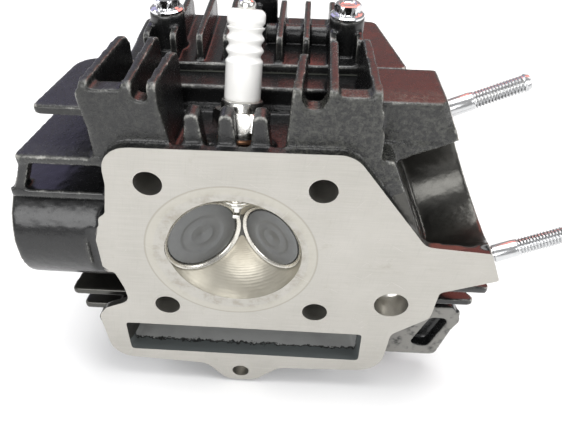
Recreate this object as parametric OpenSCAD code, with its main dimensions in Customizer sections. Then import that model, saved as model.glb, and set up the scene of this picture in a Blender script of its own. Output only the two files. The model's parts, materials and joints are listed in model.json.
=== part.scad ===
// Cylinder head of a small single-cylinder overhead-cam engine, with its valve train.
// Frame: X from the intake side to the exhaust side, Y from the machined deck into the
// head along the cylinder axis, Z from the cam-chain side up to the spark-plug side.
// Origin: centre of the four head-stud holes, on the deck face. Millimetres.

/* [Deck] */
// Half the head-stud spacing along X
stud_x = 27; // [26.5:0.5:27.5]
// Half the head-stud spacing along Z
stud_z = 28; // [27.5:0.5:28.5]
// Radius of the head-stud holes
stud_hole_r = 4.6; // [4:0.1:4.6]
// Thickness of the machined deck plate
deck_t = 3.2; // [3:0.1:4]
// Radius of the combustion-chamber sphere
bowl_r = 25; // [24.5:0.25:25.5]
// Distance of the sphere's centre in front of the deck
bowl_out = 10; // [9.5:0.25:10.5]

/* [Valves] */
// Tilt of each valve from the cylinder axis
valve_tilt = 33; // [32:0.5:34]
// Radius of the intake valve head
intake_r = 12.75; // [12.5:0.25:13]
// Radius of the exhaust valve head
exhaust_r = 11; // [10.75:0.25:11.5]
// Radius of both valve stems
stem_r = 2.5; // [2.25:0.25:2.5]
// Running clearance of every turning or sliding fit
fit = 0.03; // [0.01:0.01:0.08]

/* [Camshaft] */
// Cam axis offset along X
cam_x = -1.4; // [-1.6:0.1:-1.2]
// Cam axis distance behind the deck
cam_y = 45; // [44.5:0.5:45.5]
// Radius of the cam base circle
cam_base_r = 10; // [9.5:0.25:10]
// Lift of each cam lobe
cam_lift = 4.6; // [4:0.1:4.6]
// Teeth on the cam sprocket
sprocket_teeth = 28; // [26:1:28]

/* [Rockers] */
// Rocker pivot distance from the cam axis along X
rocker_u = 14.5; // [14.25:0.25:14.75]
// Rocker pivot distance behind the deck
rocker_y = 72; // [71.5:0.5:72.5]
// Radius of the rocker shafts
rocker_shaft_r = 4.5; // [4:0.25:4.5]

/* [Body] */
// Distance from the deck to the rear cover joint
body_depth = 86; // [86:0.5:88]
// Height of the plug-side cover joint
side_joint_z = 43; // [43:0.5:44]
// Lowest level, the outer face of the sprocket cover
base_z = -74; // [-75:0.5:-74]
// Height of the tall cooling fins
fin_top_z = 60; // [58:1:61]
// Thickness of the tall cooling fins
fin_t = 2.8; // [2.4:0.2:3]

/* [Ports] */
// Intake port axis behind the deck
intake_port_y = 20; // [19.5:0.5:20]
// Radius of the intake port
intake_port_r = 10.5; // [10:0.25:10.5]
// Intake flange position along X
intake_face_x = -75; // [-76:0.5:-74]
// Tilt of the exhaust flange normal from +X towards +Z
exhaust_tilt = 23.2; // [22:0.2:24]
// Radius of the open exhaust recess
recess_r = 20; // [19:0.5:20]
// Depth of the exhaust recess
recess_depth = 20; // [18:1:21]
// Length of exhaust stud standing out of the flange
exhaust_stud_out = 26; // [24:1:30]

/* [Spark plug] */
// Tilt of the plug from +Z towards +Y
plug_tilt = 20; // [18:1:21]
// Lean of the plug from +Z towards +X
plug_lean = 2.6; // [2:0.2:3]

/* [Hidden] */
$fn = 64;

IN = -1;
EX = 1;
eps = 0.5;

// Stations along each valve axis, measured from the centre of the chamber sphere
valve_face_d = 22;
seat_ring_d = 27;
spring_floor_d = 58;
spring_seat_t = 1.2;
guide_top_d = 61;
retainer_d = 79.5;
tip_d = 86;
tappet_gap = 0.1;
cap_joint_d = 104;
tappet_bore_r = 17;

// Cam and rocker space
chain_z = -55.5;
chain_wall_z = -39.5;
chain_case_z = -61;
cover_joint_z = -67;
web_in_z = 22;
web_out_z = 34;
chain_bearing_z1 = -28.5;
sprocket_z = -48.5;
sprocket_t = 3;
chain_pitch = 6.35;
sprocket_pcr = chain_pitch / 2 / sin(180 / sprocket_teeth);
cover_bore_r = 30.5;
cover_r = 36;
gasket_t = 0.5;

// Exhaust flange: the studs stand on both sides of its centre
exhaust_pos = [75.7, 17.3, 20.6];
exhaust_yaw = 3;
stud_low = [-13.7, -20.5];
stud_high = [12.5, 22.4];
exhaust_stud_r = 3;

plug_pos = [-0.7, 7, 14.5];
plug_seat_d = 22.6;
plug_washer_t = 1.6;

finned_bolts = [[-29, 58], [33, 58], [2, 80.5]];
sprocket_cover_bolt_angles = [90, 210, 330];
sprocket_cover_bolt_r = 37.5;

// Points of a 2D outline whose corners [x, y, r] are rounded to radius r
function unit(v) = v / norm(v);
function corner(a, b, c, r) =
    let (u = unit([a.x - b.x, a.y - b.y]), v = unit([c.x - b.x, c.y - b.y]))
    let (half = acos(u * v) / 2, mid = [b.x, b.y] + unit(u + v) * r / sin(half))
    let (p = [b.x, b.y] + u * r / tan(half) - mid)
    let (q = [b.x, b.y] + v * r / tan(half) - mid)
    let (from = atan2(p.y, p.x), turn = atan2(p.x * q.y - p.y * q.x, p * q))
    [for (i = [0:5]) mid + r * [cos(from + turn * i / 5), sin(from + turn * i / 5)]];
function rounded(pts) = [for (i = [0:len(pts) - 1])
    let (a = pts[(i + len(pts) - 1) % len(pts)], b = pts[i], c = pts[(i + 1) % len(pts)])
    each (b[2] > 0 ? corner(a, b, c, b[2]) : [[b.x, b.y]])];

// Extrusions of a 2D outline: (x, z) along Y, (y, z) along X, (x, y) along Z
module along_y(y0, y1) translate([0, y1, 0]) rotate([90, 0, 0])
    linear_extrude(y1 - y0) children();
module along_x(x0, x1) translate([x0, 0, 0]) rotate([90, 0, 90])
    linear_extrude(x1 - x0) children();
module along_z(z0, z1) translate([0, 0, z0]) linear_extrude(z1 - z0) children();

// A cylinder and a tube between two stations on the local Z axis
module rod(d0, d1, r) translate([0, 0, d0]) cylinder(h = d1 - d0, r = r);
module tube(d0, d1, r_out, r_in) difference() {
    rod(d0, d1, r_out);
    rod(d0 - eps, d1 + eps, r_in);
}

// Places: the valve axes, the rocker plane, the cam axis, the exhaust flange, the plug
module on_side(side) translate([cam_x, 0, 0]) mirror([side < 0 ? 1 : 0, 0, 0]) children();
module on_valve(side) on_side(side) translate([0, -bowl_out, 0])
    rotate([0, 0, -valve_tilt]) rotate([-90, 0, 0]) children();
module on_cam() translate([cam_x, cam_y, 0]) children();
module on_exhaust() translate(exhaust_pos) rotate([0, -exhaust_tilt, 0])
    rotate([0, 0, exhaust_yaw]) rotate([0, 90, 0]) children();
module on_plug() translate(plug_pos) rotate([-plug_tilt, plug_lean, 0]) children();
module at_exhaust_studs() for (p = [stud_low, stud_high])
    on_exhaust() translate([-p.y, p.x, 0]) children();

// Machined deck outline, corner by corner from the upper left
deck_outline = [[-40.5, 41, 9], [35.5, 41.6, 9], [61.5, 7, 5], [83.3, 5.3, 0], [88.5, -7, 0],
    [69.8, -14.4, 1.5], [68.8, -28, 4], [56, -38.5, 4], [54.4, -61.5, 10], [14, -63.5, 6],
    [4.5, -72.6, 5], [-7, -72.6, 5], [-15, -62.6, 6], [-52, -60.4, 9], [-53.8, -36, 5],
    [-50.6, -31.6, 4], [-41, -27, 4], [-41.8, -20, 6], [-46.6, -2, 8], [-45.2, 13, 2],
    [-42.6, 15, 2], [-40.4, 27, 8]];
oil_hole = [54, -22];
lug_hole = [-1.3, -66.7];
lug_t = 8.6;

module deck_plate() along_y(0, deck_t) polygon(rounded(deck_outline));

// Block around the chamber, with the front walls that stand above the deck
module chamber_block() {
    translate([-42, deck_t, -36]) cube([84, 34, 70]);
    along_y(deck_t, 9) polygon(rounded([[-41.5, 30, 0], [-45.3, 57.5, 2], [-30, 58, 1.5],
        [-27.6, 54.6, 2], [-24.6, 54.6, 2], [-22.2, 58, 1], [-18.6, 36, 0]]));
    along_y(deck_t, 9) polygon(rounded([[14.6, 36, 0], [16.4, 57, 1.2], [19, 57, 1],
        [21, 54, 2], [24.8, 54, 2], [27, 58.4, 2], [39, 58.4, 3], [42.6, 54, 3],
        [43.4, 30, 0]]));
    for (x = [-12.4, -2.4, 7.6]) along_y(deck_t, 10)
        polygon(rounded([[x - 3.6, 34, 0], [x - 2, 51, 1.8], [x + 2, 51, 1.8], [x + 3.6, 34, 0]]));
    along_y(deck_t, 30)
        polygon([[36, 38], [42, 50], [58, 46], [68, 30], [74, 5], [60, 2], [40, 10]]);
}

// Tall fins across the plug side, [x at the front, back end y, lean towards +X in degrees]
tall_fins = [[-42.5, 38, 6], [-30, 38, 2], [-23.2, 28, 5], [17.7, 30, 3], [28, 40, 0.5],
    [40.5, 42, -3]];
module tall_fin(fin) translate([fin.x, 0, 0]) rotate([0, 0, -fin[2]])
    along_x(-fin_t / 2, fin_t / 2) polygon(rounded([[deck_t, 32, 0], [deck_t, fin_top_z, 2],
        [fin.y, fin_top_z, 5], [fin.y, 32, 0]]));

// Flat fins on the intake side: [z, x at the front, x at the back, front y]
intake_fins = [[47, -61.5, -56, 9], [33, -68.5, -62, 2.5], [19.5, -73.5, -68, 2.5],
    [-30, -65, -59, 6], [-39, -62.5, -57, 7], [-48.5, -59, -54, 8]];
// Flat fins on the exhaust side, in the same form
exhaust_fins = [[-16.5, 89, 66, 4], [-29, 87.5, 64, 9], [-39, 85.5, 62, 11]];
fin_back_y = 42;
flat_fin_t = 3;
module flat_fin(fin, x_root) along_z(fin[0] - flat_fin_t / 2, fin[0] + flat_fin_t / 2)
    polygon(rounded([[x_root, fin[3], 0], [fin[1], fin[3], 1.5], [fin[2], fin_back_y, 8],
        [x_root, fin_back_y, 0]]));

// Rocker box with its plug-side flange, and the outline the flange shares with its cover
flange_outline = [[-42, 44, 3], [54.6, 46, 2], [45.7, 84.5, 3], [36, 86, 3], [-34, 86, 4],
    [-43, 80, 4]];
module rocker_box() {
    translate([-44, 34, -36]) cube([86, body_depth - 34, side_joint_z + 36 - 7]);
    translate([-42, 35, side_joint_z - 7]) cube([84, 14, 7]);
    along_z(side_joint_z - 7, side_joint_z) polygon(rounded(flange_outline));
}

// Case of the cam chain: flared at the deck, round at the sprocket
module chain_outline(grow) {
    polygon([[-44.4 - grow, 0], [45.4 + grow, 0], [38.5 + grow, cam_y], [-38.5 - grow, cam_y]]);
    translate([cam_x, cam_y]) circle(r = 38.5 + grow, $fn = 96);
}
module sprocket_cover_outline() {
    circle(r = cover_r, $fn = 96);
    for (a = sprocket_cover_bolt_angles) rotate(a) translate([sprocket_cover_bolt_r, 0]) circle(r = 6.5);
}
module chain_case() {
    along_z(chain_case_z, -36) intersection() {
        chain_outline(4.5);
        translate([-60, deck_t]) square([120, 90]);
    }
    on_cam() along_z(cover_joint_z, chain_case_z + eps) sprocket_cover_outline();
    on_cam() for (a = sprocket_cover_bolt_angles) rotate(a) translate([sprocket_cover_bolt_r, 0, 0])
        rod(chain_case_z, chain_case_z + 14, 6.2);
    along_y(deck_t, lug_t) translate([lug_hole.x, lug_hole.y]) circle(r = 6.2);
}
module chain_tunnel() {
    along_z(chain_z, chain_wall_z) translate([0, -0.01]) chain_outline(0);
    along_z(chain_z, chain_wall_z) translate([-44.4, -eps]) square([89.8, 2]);
    on_cam() rod(cover_joint_z - eps, chain_z + eps, cover_bore_r);
}

// Bosses: tappet bores on the valve axes, intake flange, exhaust flange and its stud bosses
module port_bosses() {
    for (side = [IN, EX]) on_valve(side) {
        rod(44, 76, 17.5);
        rod(72, cap_joint_d, 21);
    }
    along_x(intake_face_x, -30) translate([20.5, -1.6]) circle(r = 22.8, $fn = 96);
    intersection() {
        union() {
            on_exhaust() rod(-34, 0, 24.6);
            on_exhaust() translate([-stud_low.y, stud_low.x, -22]) cylinder(h = 22, r = 8);
            upper_stud_block();
        }
        translate([0, deck_t - 0.4, -30]) cube([120, 80, 110]);
    }
}

// Level block that carries the upper exhaust stud; its front edge at the flange is chamfered
stud_block_y = 14;
module upper_stud_block() intersection() {
    translate([40, stud_block_y, 26]) cube([40, 22.5, 25.4]);
    hull() {
        on_exhaust() translate([-50, -3.4, -60]) cube([100, 40, 57.5]);
        on_exhaust() translate([-50, -0.8, -60]) cube([100, 37.4, 60]);
    }
}

// The front of the recess is open over its whole depth, up to the stud block
module recess_opening() {
    on_exhaust() rod(-recess_depth, 40, recess_r);
    on_exhaust() translate([-40, -30, -recess_depth])
        cube([55.2, 30 + stud_block_y - exhaust_pos.y, recess_depth + 20]);
    translate([43.6, deck_t - 1, 37.5]) cube([40, stud_block_y - deck_t + 1, 30]);
}

// Slotted lug low on the exhaust side, and the web that joins the fin ends
lug_front_y = 11;
module slotted_lug() difference() {
    along_y(lug_front_y, lug_front_y + 7) polygon(rounded([[44, -36, 0], [80.5, -34.5, 2],
        [84.6, -42, 3], [82, -47.5, 3], [78.2, -64, 3], [44, -64, 0]]));
    along_y(lug_front_y - eps, lug_front_y + 5) polygon(rounded([[72.8, -41, 2.4], [80.2, -41, 2.4],
        [74.2, -59, 2.4], [66.8, -57.6, 2.4]]));
}
module side_fins() {
    for (fin = intake_fins) flat_fin(fin, -38);
    for (fin = exhaust_fins) flat_fin(fin, 38);
    along_y(3, 8) polygon([[-72.5, 19], [-69, 19], [-63.5, 33], [-67, 33]]);
    slotted_lug();
    translate([48, lug_front_y, -40]) cube([10, 26, 26]);
    along_y(deck_t, 14) translate(oil_hole) circle(r = 8.8);
}

// Spark plug boss, its seat, threaded hole and the notch around the plug
module plug_boss() on_plug() rod(6, plug_seat_d, 11);
module plug_bores() on_plug() {
    rod(-4, plug_seat_d + eps, 5);
    rod(plug_seat_d, plug_seat_d + 40, 9.6);
}

// Cam tunnel, rocker space and the openings of the covers
module cam_space() {
    on_cam() rod(-web_in_z, web_in_z, 16.5);
    translate([-38, cam_y, -web_in_z]) cube([73, 35, 2 * web_in_z]);
    translate([-30, 79, -20]) cube([58, body_depth - 78, 40]);
    along_z(web_out_z, side_joint_z + 1)
        polygon(rounded([[-33, 50, 4], [36, 50, 4], [34, 79, 4], [-33, 79, 4]]));
    on_cam() rod(chain_wall_z - 1, chain_bearing_z1, 17.5);
    on_cam() rod(chain_bearing_z1 - 1, -web_in_z + 1, 15.5);
    on_cam() rod(web_in_z - 1, 32, 14);
    on_cam() rod(31, web_out_z + 1, 11);
    for (side = [IN, EX]) on_side(side) translate([rocker_u, rocker_y, 0])
        rod(-30, web_out_z + 1, rocker_shaft_r);
}

// Ports, seats, guides and tappet bores
module valve_bores(side, head_r) on_valve(side) {
    rod(15, seat_ring_d, head_r + seat_wall);
    rod(26, 37, head_r - seat_land);
    rod(36, spring_floor_d + 1, 5);
    rod(spring_floor_d, 73, 12.5);
    rod(72, cap_joint_d + eps, tappet_bore_r);
    rod(cap_joint_d - 1.6, cap_joint_d + eps, 19);
}
seat_wall = 1.5;
seat_land = 1.8;
module ports() {
    valve_bores(IN, intake_r);
    valve_bores(EX, exhaust_r);
    along_x(intake_face_x - eps, intake_face_x + 28) translate([intake_port_y, 0])
        circle(r = intake_port_r);
    along_x(intake_face_x + 27, -20) translate([intake_port_y, 0]) circle(r = intake_port_r - 0.8);
    for (s = [-1, 1]) along_x(intake_face_x - eps, intake_face_x + 16)
        translate([22 + s * 15.8, 0]) circle(r = 2.5);
    on_exhaust() translate([6, 0, -62]) cylinder(h = 62, r = 9.2);
    at_exhaust_studs() rod(-14, eps, exhaust_stud_r - 0.5);
}

module bolt_holes() {
    for (x = [-stud_x, stud_x], z = [-stud_z, stud_z]) along_y(-eps, body_depth + eps)
        translate([x, z]) circle(r = stud_hole_r);
    along_y(-eps, 9) translate(oil_hole) circle(r = 6.1);
    translate([oil_hole.x, 9, oil_hole.y]) rotate([-90, 0, 0]) cylinder(h = 3.2, r1 = 6.1, r2 = 0.01);
    along_y(-eps, lug_t - 1) translate(lug_hole) circle(r = 3.4);
    for (p = finned_bolts) translate([p.x, p.y, 0]) rod(34.5, side_joint_z + eps, 2.5);
    on_cam() for (a = sprocket_cover_bolt_angles) rotate(a) translate([sprocket_cover_bolt_r, 0, 0])
        rod(cover_joint_z - eps, cover_joint_z + 16, 2.5);
    on_cam() translate([26, 0, 0]) rod(chain_wall_z - eps, chain_wall_z + 5.5, 2);
    for (z = [-29, 29]) along_y(body_depth - 5, body_depth + eps) translate([0, z]) circle(r = 2);
}

module head_casting() color("#232527") difference() {
    union() {
        difference() {
            union() {
                chamber_block();
                for (fin = tall_fins) tall_fin(fin);
                side_fins();
                rocker_box();
                chain_case();
                port_bosses();
                plug_boss();
            }
            recess_opening();
        }
        deck_plate();
    }
    translate([-50, -4, -30]) cube([60, 4, 60]);
    translate([cam_x, -bowl_out, 0]) sphere(r = bowl_r, $fn = 96);
    cam_space();
    ports();
    chain_tunnel();
    plug_bores();
    bolt_holes();
}

// Valve seats, guides, seals and spring seats
module valve_seat(side, head_r) color("#c9c6bd") on_valve(side) difference() {
    rod(18, seat_ring_d, head_r + seat_wall);
    rod(17, seat_ring_d + eps, head_r - seat_land);
    rod(17, valve_face_d + 1.35, head_r + 0.25);
    translate([0, 0, valve_face_d + 1.35]) cylinder(h = head_r + 0.25, r1 = head_r + 0.25, r2 = 0);
    sphere(r = bowl_r, $fn = 96);
}
module intake_valve_seat() valve_seat(IN, intake_r);
module exhaust_valve_seat() valve_seat(EX, exhaust_r);

module valve_guide(side) color("#a8874a") on_valve(side) tube(38, guide_top_d, 5, stem_r + fit);
module intake_valve_guide() valve_guide(IN);
module exhaust_valve_guide() valve_guide(EX);

module stem_seal(side) color("#3a5d46") on_valve(side)
    tube(guide_top_d, guide_top_d + 4, 5.2, stem_r + fit);
module intake_stem_seal() stem_seal(IN);
module exhaust_stem_seal() stem_seal(EX);

module spring_seat(side) color("#8d8f92") on_valve(side)
    tube(spring_floor_d, spring_floor_d + spring_seat_t, 11.8, 5.25);
module intake_spring_seat() spring_seat(IN);
module exhaust_spring_seat() spring_seat(EX);

// Valve: dished face, 45 degree seat, tulip neck, stem with a collet groove
neck_d = 7;
function neck(neck_r) = [for (a = [0:15:75])
    [stem_r + (neck_r - stem_r) * pow(cos(a), 2), valve_face_d + 3.4 + neck_d * sin(a)]];
module valve(side, head_r) color("#5c5e60") on_valve(side) rotate_extrude() polygon(concat(
    [[0, valve_face_d + 0.4], [head_r * 0.55, valve_face_d + 0.4], [head_r * 0.62, valve_face_d],
    [head_r, valve_face_d], [head_r, valve_face_d + 1.2], [head_r - 1.8, valve_face_d + 3]],
    neck(head_r - 2.3),
    [[stem_r, 33], [stem_r, 77.6], [stem_r - 0.4, 77.8], [stem_r - 0.4, 79], [stem_r, 79.2],
    [stem_r, tip_d - 0.4], [stem_r - 0.4, tip_d], [0, tip_d]]));
module intake_valve() valve(IN, intake_r);
module exhaust_valve() valve(EX, exhaust_r);

// Coil spring with closed-up end turns, swept as a tube of 8 sides
spring_steps = 14;
function spring_height(t, z0, z1) = z0 + (z1 - z0) * (t + t * t * (3 - 2 * t)) / 2;
function spring_ring(a, z, mean_r, wire_r) = [for (k = [0:7])
    let (r = mean_r + wire_r * cos(45 * k)) [r * cos(a), r * sin(a), z + wire_r * sin(45 * k)]];
module coil_spring(side, mean_r, wire_r, turns) {
    n = turns * spring_steps;
    z0 = spring_floor_d + spring_seat_t + wire_r + 0.05;
    z1 = retainer_d - wire_r - 0.05;
    rings = [for (i = [0:n])
        each spring_ring(360 * i / spring_steps, spring_height(i / n, z0, z1), mean_r, wire_r)];
    ends = [[for (k = [0:7]) k], [for (k = [7:-1:0]) n * 8 + k]];
    sides = [for (i = [0:n - 1], k = [0:7]) let (m = (k + 1) % 8)
        [i * 8 + k, (i + 1) * 8 + k, (i + 1) * 8 + m, i * 8 + m]];
    on_valve(side) polyhedron(rings, concat(ends, sides));
}
module outer_spring(side) color("#6f7479") coil_spring(side, 9.7, 1.15, 5);
module inner_spring(side) color("#7d8287") coil_spring(side, 6.75, 0.75, 7);
module intake_outer_spring() outer_spring(IN);
module exhaust_outer_spring() outer_spring(EX);
module intake_inner_spring() inner_spring(IN);
module exhaust_inner_spring() inner_spring(EX);

// Spring retainer and the two halves of its split collet
collet_r0 = 3.7;
collet_r1 = 4.5;
module spring_retainer(side) color("#84878b") on_valve(side) difference() {
    union() {
        rod(retainer_d, retainer_d + 1.6, 10.9);
        rod(retainer_d - 3.4, retainer_d + 2.4, 5.6);
    }
    translate([0, 0, retainer_d - 4]) cylinder(h = 8, r1 = collet_r0, r2 = collet_r1 + 0.3);
}
module intake_spring_retainer() spring_retainer(IN);
module exhaust_spring_retainer() spring_retainer(EX);

module collets(side) color("#b9bbbd") on_valve(side) difference() {
    translate([0, 0, retainer_d - 3]) cylinder(h = 5, r1 = collet_r0 + 0.1, r2 = collet_r0 + 0.6);
    rod(retainer_d - 4, retainer_d + 3, stem_r);
    translate([-6, -0.3, retainer_d - 4]) cube([12, 0.6, 8]);
}
module intake_collets() collets(IN);
module exhaust_collets() collets(EX);

// Camshaft: two lobes, two journals and the sprocket flange
intake_lobe_z = -12;
exhaust_lobe_z = 4;
lobe_w = 8;
module cam_lobe(z, angle) {
    nose_r = 4.6;
    reach = cam_base_r + cam_lift - nose_r;
    flank = acos((cam_base_r - nose_r) / reach);
    base_arc = [for (i = [0:36]) let (a = flank + (360 - 2 * flank) * i / 36)
        cam_base_r * [cos(a), sin(a)]];
    nose_arc = [for (i = [0:14]) let (a = flank * (i / 7 - 1))
        [reach, 0] + nose_r * [cos(a), sin(a)]];
    rotate(angle) along_z(z, z + lobe_w) polygon(concat(base_arc, nose_arc));
}
module camshaft() color("#77797c") on_cam() difference() {
    union() {
        rod(-44.5, -22.5, 7.5);
        rod(-45.5, -41, 15);
        rod(-23.5, 23.5, 8.2);
        rod(23.5, 33, 6);
        cam_lobe(intake_lobe_z, -38);
        cam_lobe(exhaust_lobe_z, -142);
    }
    rod(-46, 20, 3);
    for (a = [0, 180]) rotate(a) translate([11, 0, 0]) rod(-46, -40, 2.5);
    rotate(90) translate([11, 0, 0]) rod(-46, -42.5, 2);
}

// Ball bearing between radius r_in and r_out from z0 to z1, in three nodes
module bearing_ring(z0, z1, r_out, r_in, ball_r) on_cam() difference() {
    tube(z0, z1, r_out, r_in);
    translate([0, 0, (z0 + z1) / 2]) rotate_extrude() translate([ball_r, 0]) circle(r = 2.4);
}
module bearing_balls(z, ball_r, count) on_cam() for (i = [1:count])
    rotate(360 * i / count) translate([ball_r, 0, z]) sphere(r = 2.37, $fn = 24);
module chain_side_bearing_outer() color("#9c9ea1")
    bearing_ring(chain_wall_z, chain_bearing_z1, 17.5, 14, 12.5);
module chain_side_bearing_inner() color("#a8aaad")
    bearing_ring(chain_wall_z, chain_bearing_z1, 11, 7.5, 12.5);
module chain_side_bearing_balls() color("#d5d7d9") bearing_balls(-34, 12.5, 9);
module plug_side_bearing_outer() color("#9c9ea1") bearing_ring(24, 32, 14, 11.4, 10);
module plug_side_bearing_inner() color("#a8aaad") bearing_ring(24, 32, 8.6, 6, 10);
module plug_side_bearing_balls() color("#d5d7d9") bearing_balls(28, 10, 8);

// Keeper plate and bolt that hold the chain-side bearing
module bearing_keeper_plate() color("#8a8d90") on_cam() difference() {
    along_z(chain_wall_z - 1.6, chain_wall_z)
        polygon(rounded([[15.8, -5, 2], [31, -5, 2], [31, 5, 2], [15.8, 5, 2]]));
    translate([26, 0, 0]) rod(chain_wall_z - 3, chain_wall_z + 1, 2);
}
module bearing_keeper_bolt() color("#b4b6b8") on_cam() translate([26, 0, 0]) {
    rod(chain_wall_z - 1.6, chain_wall_z + 5, 2);
    translate([0, 0, chain_wall_z - 4.2]) cylinder(h = 2.6, r = 4, $fn = 6);
}

// Sprocket with round-rooted teeth, its dowel and bolts
module cam_sprocket() color("#8b8d8f") on_cam() difference() {
    rod(sprocket_z, sprocket_z + sprocket_t, sprocket_pcr + 1.3);
    for (i = [1:sprocket_teeth]) rotate(360 * i / sprocket_teeth) translate([sprocket_pcr, 0, 0])
        rod(sprocket_z - 1, sprocket_z + 4, 1.75);
    rod(sprocket_z - 1, sprocket_z + 4, 6);
    for (i = [0:5]) rotate(30 + 60 * i) translate([19.6, 0, 0])
        rod(sprocket_z - 1, sprocket_z + 4, 3.2);
    for (a = [0, 180]) rotate(a) translate([11, 0, 0]) rod(sprocket_z - 1, sprocket_z + 4, 2.5);
    rotate(90) translate([11, 0, 0]) rod(sprocket_z - 1, sprocket_z + 4, 2);
}
module sprocket_dowel() color("#b9bbbd") on_cam() rotate(90)
    translate([11, 0, 0]) rod(-48, -42.6, 2);
module sprocket_bolts() color("#b4b6b8") on_cam() for (a = [0, 180])
    rotate(a) translate([11, 0, 0]) {
    rod(sprocket_z, -40.2, 2.5);
    translate([0, 0, sprocket_z - 3.2]) cylinder(h = 3.2, r = 4.6, $fn = 6);
}

// Rocker arm in its own plane: hub, tip arm with the adjuster boss, cam pad arm
adjuster_d = 93.5;
module rocker_arm(side, pad_z) color("#6b6d70") {
    on_side(side) difference() {
        union() {
            translate([rocker_u, rocker_y, 0]) rod(-14.5, 14.5, 7.8);
            along_z(-4.5, 4.5) polygon(rounded([[rocker_u, 79.4, 0], [rocker_u, 65, 0],
                [44, 66, 2], [52, 71.5, 3], [30, 78, 20]]));
            along_z(pad_z, pad_z + lobe_w) polygon(rounded([[8, 70, 0], [21, 70, 0],
                [19, 65, 3], [6, 60.2, 2], [-5, 60.2, 1.4], [-5, 63, 1.4]]));
        }
        translate([rocker_u, rocker_y, 0]) rod(-15, 15, rocker_shaft_r + fit);
        translate([0, -bowl_out, 0]) rotate([0, 0, -valve_tilt]) rotate([-90, 0, 0])
            rod(84, 104, 2.5);
    }
    on_valve(side) tube(90, 97, 6, 2.5);
}
module intake_rocker_arm() rocker_arm(IN, intake_lobe_z);
module exhaust_rocker_arm() rocker_arm(EX, exhaust_lobe_z);

module rocker_shafts() color("#b0b2b4") for (side = [IN, EX]) on_side(side)
    translate([rocker_u, rocker_y, 0]) rod(-29.5, web_out_z, rocker_shaft_r);

module adjuster(side) color("#8f9194") on_valve(side) difference() {
    union() {
        rod(tip_d + tappet_gap + 2.5, 102, 2.5);
        translate([0, 0, tip_d + tappet_gap + 2.5]) sphere(r = 2.5, $fn = 32);
    }
    translate([-3, -0.4, 101]) cube([6, 0.8, 2]);
}
module intake_adjuster() adjuster(IN);
module exhaust_adjuster() adjuster(EX);
module locknut(side) color("#a3a5a8") on_valve(side) difference() {
    translate([0, 0, 97]) cylinder(h = 3.2, r = 5.2, $fn = 6);
    rod(96, 101, 2.5);
}
module intake_locknut() locknut(IN);
module exhaust_locknut() locknut(EX);

// Finned cover on the plug side, its gasket and bolts
cover_floor_z = side_joint_z + gasket_t;
cover_top_z = 46.4;
cover_fin_pitch = 9;
module cover_window(z0, z1) along_z(z0, z1)
    polygon(rounded([[-33, 50, 4], [36, 50, 4], [34, 79, 4], [-33, 79, 4]]));
module finned_side_cover() color("#232527") difference() {
    union() {
        along_z(cover_floor_z, cover_top_z) polygon(rounded(flange_outline));
        for (k = [-4:4]) along_x(1.4 + cover_fin_pitch * k - 1.1, 1.4 + cover_fin_pitch * k + 1.1)
            polygon(rounded([[46.5, 45, 0], [47, 55.2, 2], [84, 55.2, 5], [84.6, 45, 0]]));
        for (p = finned_bolts) translate([p.x, p.y, 0]) rod(45, 59, 6);
        along_x(5, 28) translate([63, 50]) circle(r = 3.2);
    }
    for (p = finned_bolts) translate([p.x, p.y, 0]) rod(cover_floor_z - eps, 60, 3);
    cover_window(cover_floor_z - eps, cover_floor_z + 0.9);
}
module finned_cover_gasket() color("#4a4f45") difference() {
    along_z(side_joint_z, cover_floor_z) polygon(rounded(flange_outline));
    cover_window(side_joint_z - 1, cover_floor_z + 1);
    for (p = finned_bolts) translate([p.x, p.y, 0]) rod(side_joint_z - 1, cover_floor_z + 1, 3);
}
module finned_cover_bolts() color("#d8dadc") for (p = finned_bolts) translate([p.x, p.y, 0]) {
    rod(35, 43.2, 2.5);
    rod(43.2, 59.5, 2.9);
    rod(59, 60.3, 5.8);
    translate([0, 0, 60.3]) cylinder(h = 3.2, r = 4.6, $fn = 6);
}

// Round cover over the sprocket, its gasket and recessed bolts
module sprocket_cover() color("#232527") on_cam() difference() {
    along_z(base_z, cover_joint_z - gasket_t) sprocket_cover_outline();
    rod(base_z + 2.6, cover_joint_z, 29);
    rod(base_z - 1, base_z + 0.8, 22);
    for (a = sprocket_cover_bolt_angles) rotate(a) translate([sprocket_cover_bolt_r, 0, 0]) {
        rod(base_z - 1, base_z + 4, 5.3);
        rod(base_z - 1, cover_joint_z, 3);
    }
}
module sprocket_cover_gasket() color("#4a4f45") on_cam() difference() {
    along_z(cover_joint_z - gasket_t, cover_joint_z) sprocket_cover_outline();
    rod(cover_joint_z - 2, cover_joint_z + 1, cover_bore_r);
    for (a = sprocket_cover_bolt_angles) rotate(a) translate([sprocket_cover_bolt_r, 0, 0])
        rod(cover_joint_z - 2, cover_joint_z + 1, 3);
}
module sprocket_cover_bolts() color("#b4b6b8") on_cam() for (a = sprocket_cover_bolt_angles) rotate(a)
    translate([sprocket_cover_bolt_r, 0, 0]) {
        rod(cover_joint_z - 0.2, cover_joint_z + 15, 2.5);
        rod(base_z + 4, cover_joint_z - 0.2, 2.9);
        difference() {
            rod(base_z + 0.3, base_z + 4, 5);
            translate([0, 0, base_z - 1]) cylinder(h = 3.6, r = 2.9, $fn = 6);
        }
    }

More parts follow.
